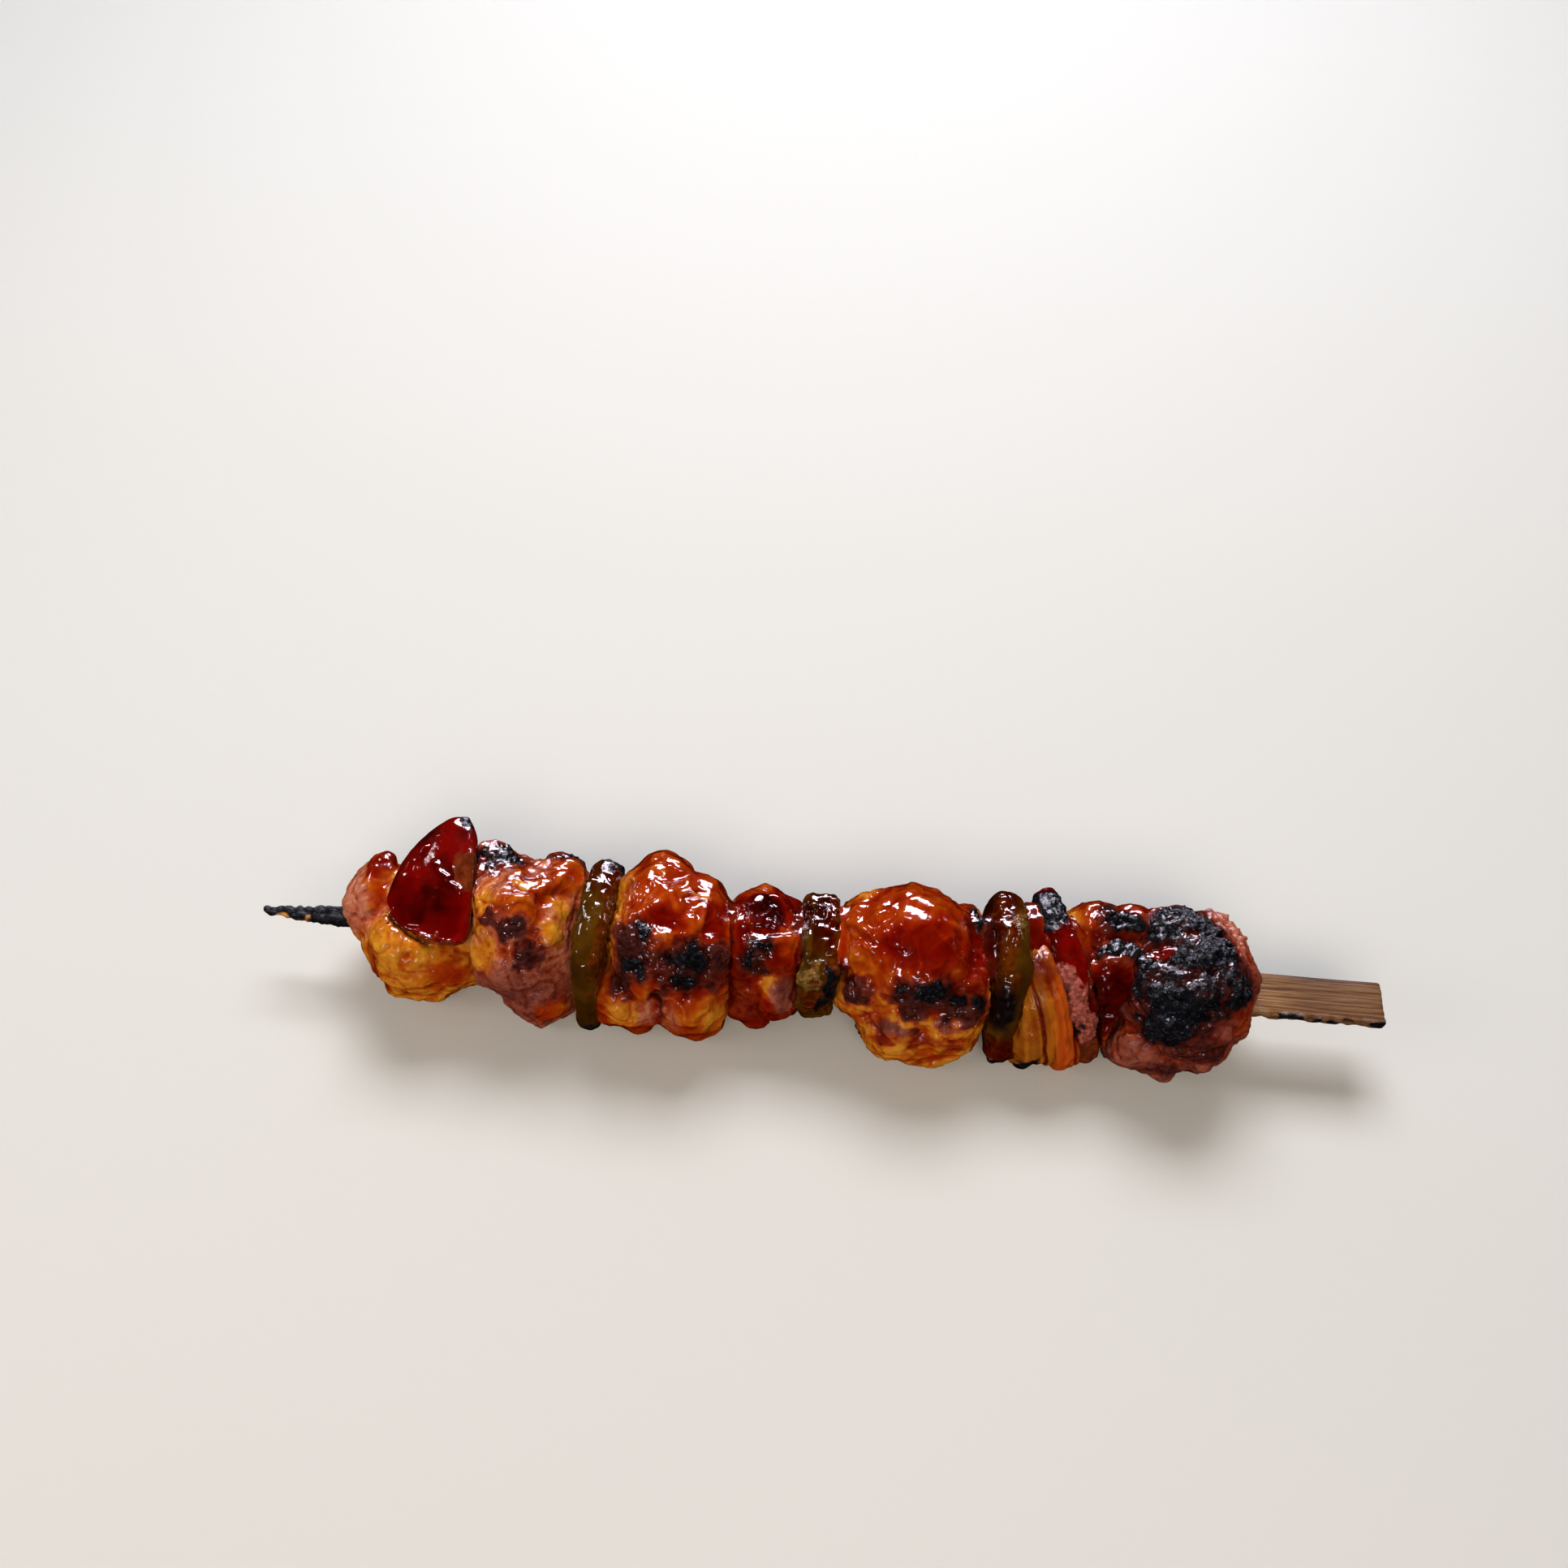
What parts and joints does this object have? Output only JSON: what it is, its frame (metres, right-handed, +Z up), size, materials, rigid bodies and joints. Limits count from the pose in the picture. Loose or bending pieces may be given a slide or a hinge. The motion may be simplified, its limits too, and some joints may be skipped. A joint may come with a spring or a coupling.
{
  "type": "pork skewer",
  "caption": "Grilled, glazed and charred pork skewer lying on its side: pork chunks with pieces of pepper and onion threaded on a flat stick that tapers to a burnt tip.",
  "frame": {"origin": "middle of the bounding box's bottom, on the surface that the food rests on", "axes": "+X along the stick from its tip to its handle, +Z up"},
  "size_m": [0.254, 0.0414, 0.0364],
  "materials": {
    "bamboo": "satin",
    "pork": "glazed, charred in patches",
    "green_pepper": "glossy",
    "red_pepper": "glossy",
    "onion": "satin"
  },
  "bodies": {
    "root": {"skewer_stick": "bamboo", "red_pepper_1": "red_pepper", "pork_1": "pork", "pork_2": "pork", "green_pepper_1": "green_pepper", "pork_3": "pork", "pork_4": "pork", "green_pepper_2": "green_pepper", "pork_5": "pork", "green_pepper_3": "green_pepper", "onion_1": "onion", "red_pepper_2": "red_pepper", "pork_6": "pork", "pork_7": "pork"}
  },
  "joints": []
}
